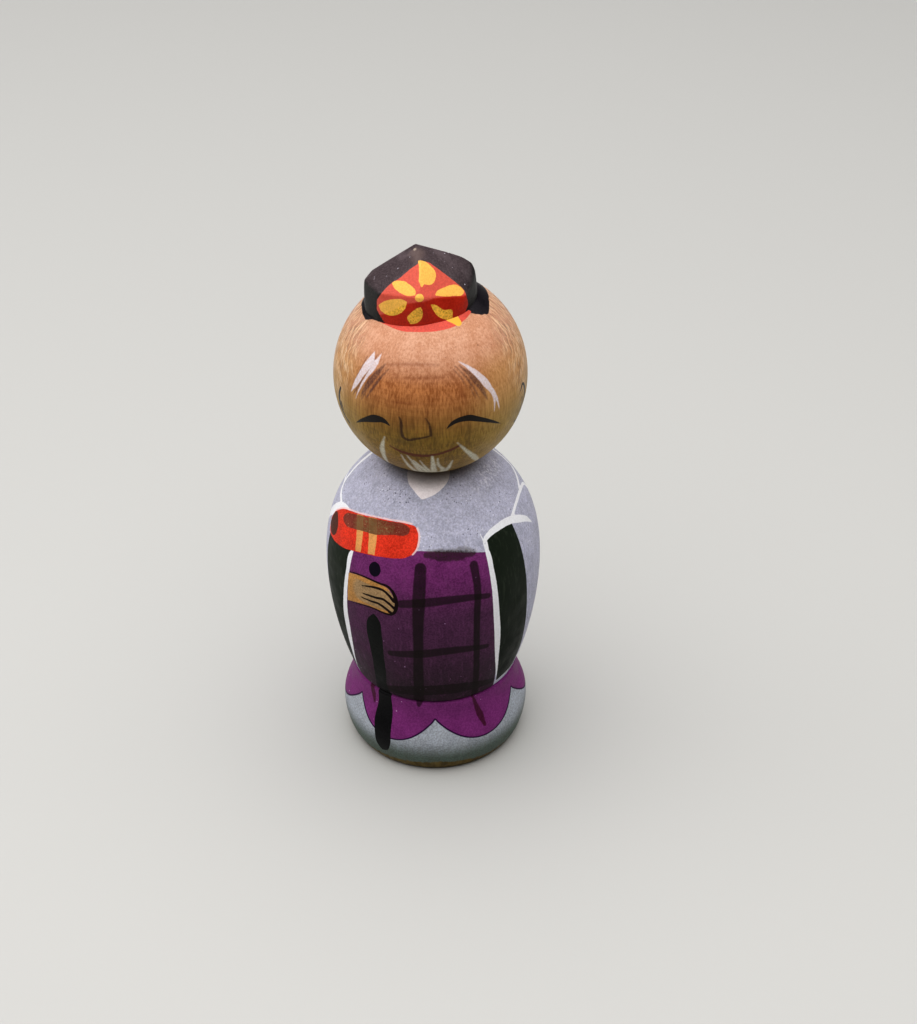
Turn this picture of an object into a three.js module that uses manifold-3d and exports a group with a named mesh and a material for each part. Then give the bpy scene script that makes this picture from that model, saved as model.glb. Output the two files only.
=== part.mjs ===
// A small painted wooden figure of Shou Lao, the old man of long life, turned like a kokeshi doll.
// It is three pieces: a turned body with a flared skirt, a turned head that sits in the body's top,
// and a carved hat that is glued onto the crown of the head. Robe, sleeves, scroll, staff and face
// are flat paint, so they aren't in the solids.
// Sizes are in millimetres. +Z is up, the origin is the middle of the sole, and the face looks along -Y.
import * as THREE from 'three';
import { ConvexGeometry } from 'three/addons/geometries/ConvexGeometry.js';
import { mergeVertices } from 'three/addons/utils/BufferGeometryUtils.js';
import Module from 'manifold-3d';

const wasm = await Module();
wasm.setup();

// Skirt, the flared foot of the body
const skirtHeight = 11.5;
const skirtRadius = 12.65;
const skirtWidestHeight = 4.8;
const soleRadius = 10.8;
const waistRadius = 11.2;

// Groove turned between skirt and robe
const grooveWidth = 0.6;
const grooveDepth = 0.4;

// Robe, the egg-shaped upper part of the body
const robeRadius = 14.23;
const robeBulgeRise = 16.8;
const robeShoulderRise = 16.6;
const shoulderSlope = THREE.MathUtils.degToRad(49);

// Seat, the shallow dish in the body's top that holds the head
const seatRadius = 5.9;
const seatClearance = 0.3;

// Head, a ball a little taller than it is wide
const headRadius = 12.25;
const headCrownHeight = 13.1;
const headChinHeight = 12.8;

// Hat, a round button pared with a knife into a hipped roof, glued a little left of the crown
const hatRadius = 7.0;
const hatDepthRadius = 6.65;
const hatPeakHeight = 4.8;
const hatShift = -0.95;
const hatClearance = 0.3;

// Facets around each turned piece
const bodySides = 60;
const headSides = 56;
const hatSides = 40;

function point(radius, height) {
  return new THREE.Vector2(radius, height);
}

// One sweep of a turned outline, from one point to another, that leaves and arrives along the given pulls
function sweep(from, leave, arrive, to, steps) {
  const start = from.clone().add(leave);
  const end = to.clone().sub(arrive);
  return new THREE.CubicBezierCurve(from, start, end, to).getPoints(steps);
}

// A solid of revolution about Z, with the doubled points along the seam and on the axis merged
function turned(outline, sides) {
  const geometry = new THREE.LatheGeometry(outline, sides);
  geometry.rotateX(Math.PI / 2);
  return closed(geometry);
}

// Merges the points that lie together and drops the faces that this leaves without area
function closed(geometry) {
  geometry.deleteAttribute('normal');
  geometry.deleteAttribute('uv');
  const merged = mergeVertices(geometry, 1e-4);
  const corners = merged.index.array;
  const kept = [];
  for (let i = 0; i < corners.length; i += 3) {
    const [a, b, c] = corners.slice(i, i + 3);
    if (a !== b && b !== c && c !== a) kept.push(a, b, c);
  }
  merged.setIndex(kept);
  return merged;
}

function toManifold(geometry) {
  const vertProperties = new Float32Array(geometry.attributes.position.array);
  const triVerts = new Uint32Array(geometry.index.array);
  return new wasm.Manifold(new wasm.Mesh({ numProp: 3, vertProperties, triVerts }));
}

function fromManifold(solid) {
  const mesh = solid.getMesh();
  const geometry = new THREE.BufferGeometry();
  geometry.setAttribute('position', new THREE.BufferAttribute(mesh.vertProperties, 3));
  geometry.setIndex(new THREE.BufferAttribute(mesh.triVerts, 1));
  return geometry;
}

// How far below its own middle the underside of the head lies at a radius, with a clearance around it
function headDrop(radius, clearance) {
  const share = radius / (headRadius + clearance);
  return (headChinHeight + clearance) * Math.sqrt(1 - share * share);
}

const robeFootHeight = skirtHeight + grooveWidth;
const robeWidestHeight = robeFootHeight + robeBulgeRise;
const seatRimHeight = robeWidestHeight + robeShoulderRise;
const headMiddle = seatRimHeight + headDrop(seatRadius, seatClearance);

function bodyOutline() {
  const soleEdge = point(soleRadius, 0);
  const skirtWidest = point(skirtRadius, skirtWidestHeight);
  const skirtTop = point(waistRadius, skirtHeight);
  const grooveFloor = point(waistRadius - grooveDepth, skirtHeight + grooveWidth / 2);
  const robeFoot = point(waistRadius, robeFootHeight);
  const robeWidest = point(robeRadius, robeWidestHeight);
  const seatRim = point(seatRadius, seatRimHeight);

  const skirtRise = skirtHeight - skirtWidestHeight;
  const roundEdge = point((skirtRadius - soleRadius) * 0.6, 0);
  const intoSkirt = point(0, skirtWidestHeight / 3);
  const outOfSkirt = point(0, skirtRise * 0.36);
  const intoWaist = point(0, skirtRise * 0.54);
  const outOfGroove = point(grooveDepth / 2, grooveDepth);
  const intoBulge = point(0, robeBulgeRise * 0.54);
  const outOfBulge = point(0, robeShoulderRise * 0.53);
  const slope = point(-Math.sin(shoulderSlope), Math.cos(shoulderSlope));
  const intoSeat = slope.multiplyScalar(robeShoulderRise * 0.41);

  const outline = [
    point(0, 0),
    ...sweep(soleEdge, roundEdge, intoSkirt, skirtWidest, 6),
    ...sweep(skirtWidest, outOfSkirt, intoWaist, skirtTop, 7).slice(1),
    grooveFloor,
    ...sweep(robeFoot, outOfGroove, intoBulge, robeWidest, 8),
    ...sweep(robeWidest, outOfBulge, intoSeat, seatRim, 10).slice(1),
  ];
  const dishSteps = 5;
  for (let i = dishSteps - 1; i >= 0; i--) {
    const radius = seatRadius * i / dishSteps;
    outline.push(point(radius, headMiddle - headDrop(radius, seatClearance)));
  }
  return outline;
}

// The head's outline about its own middle, grown all round by a clearance
function headOutline(clearance, steps) {
  const outline = [];
  for (let i = 0; i <= steps; i++) {
    const angle = (i / steps - 0.5) * Math.PI;
    const half = angle < 0 ? headChinHeight : headCrownHeight;
    const radius = Math.max((headRadius + clearance) * Math.cos(angle), 0);
    outline.push(point(i % steps ? radius : 0, (half + clearance) * Math.sin(angle)));
  }
  return outline;
}

// The corners that the knife left on the hat: each one's name, its shares of the hat's radius across
// and back, and its share of the peak's height up from the crown
const hatCorners = [
  ['ridge front', 0, -0.37, 0.98],
  ['ridge back', -0.09, 0.14, 1],
  ['brow middle', -0.04, -0.96, 0.33],
  ['brow left', -0.75, -0.61, 0.19],
  ['brow right', 0.8, -0.6, 0.06],
  ['right hip', 0.59, -0.39, 0.48],
  ['right slope, upper', 0.49, 0.14, 0.73],
  ['right slope, lower', 0.72, 0.11, 0.62],
  ['right shoulder', 0.89, 0.09, 0.46],
  ['right eave', 0.98, 0.06, 0.21],
  ['left shoulder', -0.88, 0.1, 0.26],
  ['left eave', -1.01, -0.09, 0.15],
  ['back left', -0.7, 0.55, 0.08],
  ['back middle', -0.08, 0.87, 0.2],
  ['back right', 0.73, 0.6, 0.12],
];

// The hat about the crown of the head: a round foot under the pared corners, hollowed to the head
function hatSolid() {
  const points = hatCorners.map(
    ([, across, back, up]) => new THREE.Vector3(across * hatRadius, back * hatRadius, up * hatPeakHeight),
  );
  const footTop = -hatRadius * 0.2;
  const footBottom = -hatRadius * 0.7;
  for (let i = 0; i < hatSides; i++) {
    const angle = (2 * Math.PI * i) / hatSides;
    const across = hatRadius * Math.cos(angle);
    const back = hatDepthRadius * Math.sin(angle);
    points.push(new THREE.Vector3(across, back, footTop));
    points.push(new THREE.Vector3(across, back, footBottom));
  }
  const blank = closed(new ConvexGeometry(points));

  const crown = turned(headOutline(hatClearance, 28), headSides);
  crown.translate(-hatShift, 0, -headCrownHeight);
  return toManifold(blank).subtract(toManifold(crown));
}

function part(name, geometry, material) {
  const mesh = new THREE.Mesh(geometry, material);
  mesh.name = name;
  return mesh;
}

const robePaint = new THREE.MeshStandardMaterial({ color: 0xa5a0b4, roughness: 0.6, metalness: 0 });
const stainedWood = new THREE.MeshStandardMaterial({ color: 0xa96b40, roughness: 0.45, metalness: 0 });
const hatPaint = new THREE.MeshStandardMaterial({ color: 0x2a262c, roughness: 0.5, metalness: 0 });

const body = part('body', turned(bodyOutline(), bodySides), robePaint);

const head = part('head', turned(headOutline(0, 26), headSides), stainedWood);
head.position.z = headMiddle;

const hat = part('hat', fromManifold(hatSolid()), hatPaint);
hat.position.set(hatShift, 0, headMiddle + headCrownHeight);

const figure = new THREE.Group();
figure.name = 'shou_lao_figure';
figure.add(body, head, hat);

export default figure;
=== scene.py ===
"""The looks of a small painted wooden figure of Shou Lao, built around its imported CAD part.

Every painted shape is placed on the turned wood by its azimuth in degrees (0 is the front, more is to the
viewer's right) and its height in mm. Each coat of paint is one number per vertex: how far the vertex lies
outside the edge of that coat's shapes, in mm. The materials turn these numbers into crisp brush edges.
"""

import math

import bpy
import numpy as np
from mathutils import Matrix, Vector


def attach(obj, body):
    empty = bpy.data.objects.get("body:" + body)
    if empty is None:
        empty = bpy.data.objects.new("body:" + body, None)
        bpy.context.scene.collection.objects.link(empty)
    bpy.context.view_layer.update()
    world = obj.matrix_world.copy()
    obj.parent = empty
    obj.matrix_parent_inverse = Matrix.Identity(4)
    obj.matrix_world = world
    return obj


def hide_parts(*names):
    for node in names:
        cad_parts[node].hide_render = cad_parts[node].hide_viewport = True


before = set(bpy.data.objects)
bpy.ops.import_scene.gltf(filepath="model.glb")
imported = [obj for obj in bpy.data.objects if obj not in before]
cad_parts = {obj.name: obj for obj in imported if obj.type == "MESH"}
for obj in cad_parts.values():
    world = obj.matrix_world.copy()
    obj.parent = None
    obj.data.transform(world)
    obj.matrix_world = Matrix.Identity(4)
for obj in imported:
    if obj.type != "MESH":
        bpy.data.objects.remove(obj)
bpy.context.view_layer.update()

MM = 0.001
FAR = 1.5  # how far from an edge, in mm, a coat's distances are worked out

# The figure looks a little to the viewer's left
FRONT = -9.5

HEAD_MIDDLE = 57.06


def srgb(red, green, blue):
    """A colour as the eye names it, 0 to 255, as linear light."""
    return tuple(
        c / 12.92 if c <= 0.04045 else ((c + 0.055) / 1.055) ** 2.4
        for c in (red / 255, green / 255, blue / 255)
    )


# Curves


def smooth(points, step, closed=False):
    """Points about a step apart on a smooth curve through the given ones."""
    p = np.array(points, float)
    if len(p) == 2:
        count = max(int(np.linalg.norm(p[1] - p[0]) / step), 1)
        return p[0] + np.linspace(0, 1, count + 1)[:, None] * (p[1] - p[0])
    if closed:
        p = np.vstack([p[-1:], p, p[:2]])
    gap = np.linalg.norm(np.diff(p, axis=0), axis=1)[:, None]
    slope = np.diff(p, axis=0) / gap
    pull = np.empty_like(p)
    pull[1:-1] = (slope[:-1] * gap[1:] + slope[1:] * gap[:-1]) / (gap[:-1] + gap[1:])
    pull[0] = 1.5 * slope[0] - 0.5 * pull[1]
    pull[-1] = 1.5 * slope[-1] - 0.5 * pull[-2]
    parts = []
    for i in range(1, len(p) - 2) if closed else range(len(p) - 1):
        t = np.arange(0, 1, min(step / gap[i, 0], 1))[:, None]
        parts.append(
            (2 * t**3 - 3 * t**2 + 1) * p[i]
            + (t**3 - 2 * t**2 + t) * gap[i] * pull[i]
            + (3 * t**2 - 2 * t**3) * p[i + 1]
            + (t**3 - t**2) * gap[i] * pull[i + 1]
        )
    return np.vstack([*parts, p[-2:-1] if closed else p[-1:]])


def lengths(path):
    """How far along a path each of its points lies."""
    steps = np.linalg.norm(np.diff(path, axis=0), axis=1)
    return np.concatenate([[0], np.cumsum(steps)])


def stations(end, fine_from, fine_to, fine, coarse):
    """Places from 0 to an end, a fine step apart between two of them and a coarse step elsewhere."""
    stretches = []
    for start, stop, step in ((0, fine_from, coarse), (fine_from, fine_to, fine), (fine_to, end, coarse)):
        if stop > start:
            stretches.append(np.linspace(start, stop, max(round((stop - start) / step), 1), endpoint=False))
    return np.concatenate([*stretches, [end]])


def nearest(points, path):
    """Each point's distance to a path, and how far along the path the nearest place lies, as a share."""
    best = np.full(len(points), np.inf)
    share = np.zeros(len(points))
    reached = lengths(path)
    for i in range(len(path) - 1):
        leg = path[i + 1] - path[i]
        size = leg @ leg
        if size == 0:
            continue
        t = np.clip((points - path[i]) @ leg / size, 0, 1)
        away = np.linalg.norm(points - path[i] - t[:, None] * leg, axis=1)
        closer = away < best
        best[closer] = away[closer]
        share[closer] = (reached[i] + t[closer] * math.sqrt(size)) / reached[-1]
    return best, share


def within(places, outline):
    """Which flat places lie inside a closed outline."""
    inside = np.zeros(len(places), bool)
    x, y = places.T
    for (x0, y0), (x1, y1) in zip(outline, np.roll(outline, -1, axis=0)):
        if y0 != y1:
            crosses = ((y0 > y) != (y1 > y)) & (x < x0 + (y - y0) * (x1 - x0) / (y1 - y0))
            inside ^= crosses
    return inside


# Surfaces


def placed(name, data):
    """A new object in the scene."""
    made = bpy.data.objects.new(name, data)
    bpy.context.scene.collection.objects.link(made)
    return made


class Surface:
    """A lattice of points in rows that go round, with coats of paint on it."""

    def __init__(self, points, places):
        self.rows, self.columns = points.shape[:2]
        self.points = points.reshape(-1, 3)
        self.places = places.reshape(-1, 2)
        self.coats = {}

    def near(self, flat):
        """The points whose places lie inside or close around those of a path."""
        low = flat.min(0) - self.margin
        high = flat.max(0) + self.margin
        return np.flatnonzero(((self.places > low) & (self.places < high)).all(1))

    def add(self, coat, where, distance):
        kept = self.coats.setdefault(coat, np.full(len(self.points), FAR))
        kept[where] = np.minimum(kept[where], np.clip(distance, -FAR, FAR))

    def stroke(self, coat, places, *widths):
        """One stroke of the brush along places, with widths in mm spaced evenly along it."""
        flat, path = self.traced([places])
        where = self.near(flat)
        away, share = nearest(self.points[where], path)
        self.add(coat, where, away - np.interp(share, np.linspace(0, 1, len(widths)), widths) / 2)

    def fill(self, coat, *arcs):
        """A painted patch inside one closed curve, or inside smooth arcs that meet in corners.

        Each further arc starts where the one before it ends, and the last one goes back to the first point.
        """
        arcs = [list(arc) for arc in arcs]
        closed = len(arcs) == 1
        if not closed:
            for before, arc in zip(arcs[:-1], arcs[1:]):
                arc.insert(0, before[-1])
            arcs[-1].append(arcs[0][0])
        flat, path = self.traced(arcs, closed)
        path = np.vstack([path, path[:1]])
        where = self.near(flat)
        away = nearest(self.points[where], path)[0]
        inside = within(self.places[where], flat)
        self.add(coat, where, np.where(inside, -away, away))

    def mesh(self, name, low_end, high_end):
        """A closed mesh of the lattice, with one more point at each end, and its coats as attributes."""
        here = np.arange(self.rows * self.columns).reshape(self.rows, self.columns)
        right = np.roll(here, -1, axis=1)
        quads = np.stack([here[:-1], right[:-1], right[1:], here[1:]], axis=-1).reshape(-1, 4)
        low = np.stack([np.full(self.columns, here.size), right[0], here[0]], axis=-1)
        high = np.stack([here[-1], right[-1], np.full(self.columns, here.size + 1)], axis=-1)
        mesh = bpy.data.meshes.new(name)
        vertices = np.vstack([self.points, [low_end, high_end]]) * MM
        mesh.from_pydata(vertices.tolist(), [], quads.tolist() + low.tolist() + high.tolist())
        mesh.polygons.foreach_set("use_smooth", np.ones(len(mesh.polygons), bool))

        for coat, distance in self.coats.items():
            ends = [distance[0], distance[-1]]
            layer = mesh.attributes.new(coat, "FLOAT", "POINT")
            layer.data.foreach_set("value", np.concatenate([distance, ends]).astype(np.float32))

        across = np.arange(self.columns) / self.columns
        beyond = across + 1 / self.columns
        up = lengths(self.points[:: self.columns])
        up = 0.01 + 0.98 * up / up[-1]
        corners = np.empty((self.rows - 1, self.columns, 4, 2))
        corners[..., 0] = np.stack([across, beyond, beyond, across], axis=-1)
        corners[..., 1] = np.stack([up[:-1], up[:-1], up[1:], up[1:]], axis=-1)[:, None]
        triangle = np.stack([across, beyond, across], axis=-1)
        low_up = np.broadcast_to([0, up[0], up[0]], (self.columns, 3))
        high_up = np.broadcast_to([up[-1], up[-1], 1], (self.columns, 3))
        charts = np.vstack([
            corners.reshape(-1, 2),
            np.stack([triangle, low_up], axis=-1).reshape(-1, 2),
            np.stack([triangle, high_up], axis=-1).reshape(-1, 2),
        ])
        mesh.uv_layers.new(name="OFBake").data.foreach_set("uv", charts.astype(np.float32).ravel())
        mesh.validate()
        return placed(name, mesh)


class Turned(Surface):
    """A surface of revolution about the figure's axis. Its places are azimuths and heights."""

    def __init__(self, outline, rows, azimuths, base=0.0):
        reached = lengths(outline)
        radius = np.interp(rows, reached, outline[:, 0])
        height = np.interp(rows, reached, outline[:, 1])
        turn = np.radians(azimuths)
        points = np.empty((len(rows), len(azimuths), 3))
        points[..., 0] = radius[:, None] * np.sin(turn)
        points[..., 1] = -radius[:, None] * np.cos(turn)
        points[..., 2] = height[:, None]
        places = np.empty((len(rows), len(azimuths), 2))
        places[..., 0] = azimuths
        places[..., 1] = height[:, None] - base
        self.base = base
        self.side = outline[:-1][np.diff(outline[:, 1]) > 1e-6]
        self.reach = math.radians(outline[:, 0].max())
        self.margin = (3 * FAR / self.reach, FAR)
        super().__init__(points, places)

    def traced(self, arcs, closed=False):
        """Arcs of (azimuth, height) as one fine path, flat and on the surface."""
        parts = []
        for arc in arcs:
            flat = np.array(arc, float) * (self.reach, 1)
            parts.append(smooth(flat, 0.15, closed) / (self.reach, 1))
        flat = np.vstack(parts)
        height = flat[:, 1] + self.base
        radius = np.interp(height, self.side[:, 1], self.side[:, 0])
        turn = np.radians(flat[:, 0])
        return flat, np.stack([radius * np.sin(turn), -radius * np.cos(turn), height], axis=-1)


def cad_points(node):
    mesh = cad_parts[node].data
    co = np.empty(len(mesh.vertices) * 3)
    mesh.vertices.foreach_get("co", co)
    return co.reshape(-1, 3) / MM


def cad_outline(node):
    """The radius and height, in mm, of the points up the front of a turned node, as the lathe left them."""
    points = cad_points(node)
    front = points[(np.abs(points[:, 0]) < 1e-3) & (points[:, 1] < 1e-3)]
    outline = np.stack([-front[:, 1], front[:, 2]], axis=-1)
    outline = np.unique(outline.round(3), axis=0)
    outline = outline[np.argsort(outline[:, 1], kind="stable")]
    rim = outline[-1]
    return outline[(outline[:, 0] >= rim[0] - 1e-3) | (outline[:, 1] < rim[1] / 2)]


def lathe_curve(outline, corner_turn=35):
    """A fine smooth curve through an outline's points, which keeps its corners."""
    leg = np.diff(outline, axis=0)
    heading = np.degrees(np.arctan2(leg[:, 1], leg[:, 0]))
    turn = np.abs((np.diff(heading) + 180) % 360 - 180)
    corners = [0, *(np.flatnonzero(turn > corner_turn) + 1), len(outline) - 1]
    parts = [smooth(outline[a : b + 1], 0.1) for a, b in zip(corners[:-1], corners[1:])]
    return np.vstack([parts[0], *(part[1:] for part in parts[1:])])


def columns(fine_from, fine_to, fine, coarse):
    """Azimuths all the way round from the back, finely spaced between two of them. Steps are in degrees."""
    return stations(360, fine_from + 180, fine_to + 180, fine, coarse)[:-1] - 180


# Paint on the body


def mirrored(path):
    """The same path on the other side of the figure."""
    return [(2 * FRONT - azimuth, height) for azimuth, height in path]


STAFF_LEFT = [
    (-33.5, 27.8), (-37.5, 26.6), (-39.3, 24.5), (-38.8, 22), (-38.9, 19), (-40.9, 15.3), (-43.6, 12),
    (-43, 10), (-43.6, 7.6), (-41.5, 5.4), (-40.3, 3.4), (-37, 2.4),
]
STAFF_RIGHT = [
    (-33.3, 2.7), (-29.8, 4.4), (-29.9, 6.8), (-30.5, 8.8), (-32, 11), (-33, 13.8),
    (-30.7, 17.2), (-30, 20.2), (-29.5, 24.3), (-31, 27.2),
]
LEFT_PLAID = [(-7.2, 36), (-7.8, 32.8), (-8.3, 29.5), (-9, 23), (-9.7, 18.9), (-10.7, 14.7), (-11.4, 12.2)]
RIGHT_PLAID = [(22.6, 35.8), (23.5, 31.9), (22.8, 28.6), (23.2, 23.3), (25, 17.6), (27.4, 12.4)]


def paint_robe(robe):
    """The haori, its sleeves and collar, the apron, and what the figure holds."""
    # Purple apron between the sleeves
    robe.fill(
        "apron",
        [(-50, 36.1), (-30, 37.2), (-8.4, 38.1), (9.7, 37.9), (31, 36.9)],
        [(31.6, 34), (33.4, 27), (38, 19), (45, 11)],
        [(-66, 11)],
        [(-61, 16), (-57, 20), (-56.5, 25.5), (-53.5, 31)],
    )
    robe.stroke(
        "ragged", [(-4, 37.7), (4, 37.55), (12, 37.4), (20, 37.3), (24, 37.2)], 0.7, 1.3, 1.4, 1.1, 0.5,
    )
    robe.stroke(
        "smudge", [(-3, 38.1), (4, 38.1), (12, 38), (20, 37.8), (24, 37.5)], 0.4, 0.5, 0.5, 0.9, 0.5,
    )

    # Plaid of thin dark strokes
    robe.stroke("plaid_up", LEFT_PLAID, 1.5, 1.7, 1.4, 1.3, 1.4, 1.5)
    robe.stroke("plaid_up", RIGHT_PLAID, 1.15, 0.95, 0.9, 0.9, 0.9)
    robe.stroke(
        "plaid_across",
        [(-17.5, 30.6), (-4, 31.2), (10, 31.5), (20, 31.3), (29.4, 30.8)],
        1.2, 1.35, 1.1, 0.8,
    )
    robe.stroke("plaid_across", [(-25, 21.5), (-11, 22.2), (10, 22.85), (29.6, 22.1)], 1.0, 1.5, 1.3, 0.8)
    robe.stroke(
        "plaid_across",
        [(-38, 12.9), (-20.6, 14), (-1.2, 14.8), (19, 14.7), (40, 13.7)],
        1.3, 2.3, 2.3, 1.1,
    )

    # Dark sleeve openings
    robe.fill(
        "sleeve",
        [(32.6, 38.1), (43, 38.7), (55.7, 38.3)],
        [(57.2, 33), (58.6, 29.1), (60.8, 24.5), (64, 19.6), (66, 16), (64, 12.9)],
        [(45, 12.9)],
        [(39.5, 18.5), (37, 24.2), (35, 31), (33, 37)],
    )
    robe.fill(
        "sleeve",
        [(-52, 36), (-60, 38.2), (-76, 37)],
        [(-79, 33.5), (-80.5, 29.3), (-82, 24.5), (-84, 19.6), (-85, 16), (-83, 12.9)],
        [(-64, 12.9)],
        [(-59, 17.5), (-57, 24.5), (-54.5, 30)],
    )

    # White edges of the sleeves
    robe.fill(
        "white",
        [(30.7, 38.2), (31.3, 34.4), (32, 31.1), (32.7, 27.5), (33.7, 24.8), (37.1, 19), (44.6, 12.9)],
        [(40.2, 18.5), (38.1, 24.2), (36.7, 27.1), (35.5, 30.8), (34.4, 34.1), (32.8, 37.4)],
    )
    robe.fill(
        "white",
        [(-50, 35.8), (-51, 32.6), (-52.6, 28.9), (-53.8, 25.6), (-54, 22.4), (-55.8, 19), (-64.5, 12.9)],
        [(-60, 18.4), (-59, 21.4), (-58.3, 24.8), (-56.1, 28.4), (-53.9, 32.2), (-52, 35.4)],
    )
    robe.fill(
        "white",
        [
            (30.6, 37.9), (32.1, 38.55), (36.5, 39.06), (42.9, 39.31), (51.1, 39.35), (57.7, 39.08),
            (66.2, 38.26), (72.6, 37.22),
        ],
        [(77, 35.5)],
        [(72.2, 36.4), (66.6, 37.19), (62, 37.66), (55.6, 38.28), (44.1, 38.54), (37, 38.4), (32.7, 38.05)],
        [],
    )
    robe.fill(
        "white",
        [(-64, 39.3), (-71, 39.35), (-76, 39.1), (-83, 38.25), (-89, 36.9), (-95, 35), (-100, 32.5)],
        [(-93, 34), (-87, 35.5), (-83.6, 36.2), (-80, 37.4), (-74, 38.5), (-69, 38.9)],
    )
    robe.stroke("white", [(30.3, 39.15), (31.6, 38.1)], 0.12, 0.25)
    robe.stroke("white", [(33, 38), (32.2, 36.5)], 0.3, 0.5)
    hem = [(45, 12.9), (56, 13.1), (66, 13.3)]
    for side in (hem, mirrored(hem)):
        robe.stroke("white", side, 0.2, 0.25, 0.15)

    # Shoulder seams, and the sleeves' seams down the back
    seam = [(59.4, 38.95), (65.3, 39.36), (75.3, 39.65), (84.7, 39.54), (97.5, 38.58), (104, 37)]
    robe.stroke("white", seam, 0.5, 0.48, 0.48, 0.45, 0.4)
    upper_seam = [
        (121, 46.2), (118, 44.8), (112, 43), (109.5, 41.6), (107, 40.75), (100, 40.3), (93, 40.1),
        (84, 39.8),
    ]
    robe.stroke("white", upper_seam, 0.95, 0.95, 0.8, 0.6, 0.45)
    upper_seam = [
        (-78, 38.7), (-85, 38.85), (-92, 39.05), (-97, 39.6), (-100, 40.6), (-103, 41.9), (-104, 43),
        (-107, 44.8), (-110, 46.2),
    ]
    robe.stroke("white", upper_seam, 0.45, 0.5, 0.65, 0.85, 0.95, 0.95)
    robe.stroke("white", [(-97, 39.4), (-106, 39.35), (-114, 39)], 0.45, 0.4, 0.35)
    rear = [(96, 38.9), (108, 35), (114, 29), (114, 22), (110, 16), (105, 12.9)]
    for side in (rear, mirrored(rear)):
        robe.stroke("white", side, 0.3, 0.5, 0.5, 0.45, 0.3, 0.15)

    # Worn places under the head, and a painted shadow under the chin
    # Pale scratches on the right shoulder, with a painted sheen of light over them
    robe.stroke("scuff", [(96, 43), (68, 43.8), (52, 43.5), (45, 43.2)], 1.2, 2.6, 2.4, 1.2)
    robe.stroke("pits", [(-50, 43.2), (-37, 43.2), (-24, 43)], 0.9, 2.2, 1.8)
    # Painted shadow that the head casts on the robe all round the neck
    robe.stroke(
        "grime", [(-80, 45.4), (-45, 45.4), (-10, 45.4), (25, 45.4), (60, 45.4)], 0.8, 2.0, 2.8, 2.0, 0.8,
    )

    # Collar
    robe.fill(
        "collar",
        [(-32, 45.5), (-26.3, 44.6), (-18.6, 44), (-9.3, 43.25)],
        [(-0.5, 43.6), (11.2, 44.3), (19.2, 45), (23, 45.6)],
        [(23, 47), (-32, 47)],
    )

    # Scroll, its brown opening and its two yellow bands
    top_edge = [
        (-83.5, 35.8), (-81.2, 37.15), (-74, 38.5), (-63.2, 39.42), (-56.9, 39.76), (-47.4, 40.23),
        (-37.4, 40.58),
        (-28.5, 40.76), (-20.1, 40.85), (-14.5, 40.79),
    ]
    end_edge = [(-11.1, 40.54), (-9.6, 40.1), (-9.2, 39.13), (-10.2, 38.26), (-12.5, 37.59)]
    low_edge = [
        (-16.8, 37.05), (-22.2, 36.8), (-30.7, 36.5), (-43.2, 35.95), (-50.7, 35.5), (-57.4, 35),
        (-64.9, 34.6), (-73, 34.3), (-80, 34.4),
    ]
    robe.fill("scroll", top_edge, end_edge, low_edge)
    robe.stroke("halo", [(azimuth, height + 0.1) for azimuth, height in top_edge[1:]], 0.25, 0.2, 0.2, 0.25)
    robe.stroke("halo", [(azimuth + 0.4, height) for azimuth, height in end_edge], 0.25, 0.25, 0.2)
    robe.fill(
        "scroll_end",
        [(-83, 35.3), (-82.5, 36.2), (-80.9, 37.1), (-78, 37.5), (-74.5, 37.25)],
        [(-70.8, 36.6), (-70, 35.5), (-72.8, 34.75), (-78, 34.6)],
    )
    robe.fill(
        "scroll_mouth",
        [
            (-68.9, 37.9), (-68, 38.5), (-62.5, 39.2), (-55.2, 39.7), (-47.2, 40.1), (-31.3, 40.6),
            (-18.2, 40.65), (-15.3, 40.4),
        ],
        [(-16, 39.85), (-19, 39.55), (-24, 39.45), (-37, 38.8), (-47.4, 38.44), (-55, 38), (-62, 37.6)],
    )
    robe.stroke("band", [(-54.6, 39.74), (-49.6, 38.24), (-46.8, 36)], 1.2, 1.15, 1.0)
    robe.stroke("band", [(-44, 40.3), (-39.6, 38.7), (-37.2, 35.9)], 1.35, 1.25, 1.0)
    robe.stroke("olive", [(-52, 39), (-44, 39.3), (-36, 39.6), (-28, 39.9)], 2.0, 2.4, 2.0, 1.0)

    # Hand, its fingers, and the staff that it holds
    robe.fill(
        "hand",
        [
            (-51.5, 32.2), (-42, 32.8), (-35.4, 32.85), (-29.8, 32.75), (-25.2, 32.55), (-22.8, 31.95),
            (-21.2, 31.1),
        ],
        [(-20.8, 30.1), (-21.6, 29.25), (-23.4, 28.6)],
        [(-27.5, 28.65), (-32.1, 28.8), (-36.6, 28.75), (-41, 28.55), (-52.5, 27.6)],
        [],
    )
    knuckles = [(-51, 32.4), (-42, 32.93), (-35.5, 32.98), (-29.9, 32.9), (-24.9, 32.8), (-21.9, 32.2)]
    robe.stroke("ink", knuckles, 0.14, 0.24, 0.28, 0.3, 0.4)
    robe.stroke(
        "ink",
        [(-22, 32.2), (-20.4, 31.3), (-20, 30.1), (-21, 29.1), (-23.2, 28.5)],
        0.4, 0.5, 0.5, 0.45, 0.3,
    )
    robe.stroke(
        "ink",
        [(-23, 28.5), (-27.5, 28.5), (-32.1, 28.65), (-36.6, 28.6), (-41, 28.4), (-52, 27.5)],
        0.3, 0.26, 0.18, 0.1,
    )
    for finger in (
        [(-41.2, 31.45), (-36.5, 31.84), (-32.1, 32.07), (-27.4, 32.03), (-24.4, 31.57), (-21.5, 30.75)],
        [(-41.6, 30.3), (-36.8, 30.46), (-31.9, 30.55), (-27.3, 30.66), (-24.4, 30.28), (-21, 29.65)],
        [(-41.8, 29.6), (-38.6, 29.65), (-34.4, 29.69), (-30.4, 29.75), (-26.7, 29.39), (-23, 28.8)],
    ):
        robe.stroke("ink", finger, 0.14, 0.28, 0.36, 0.38, 0.42)
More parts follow.
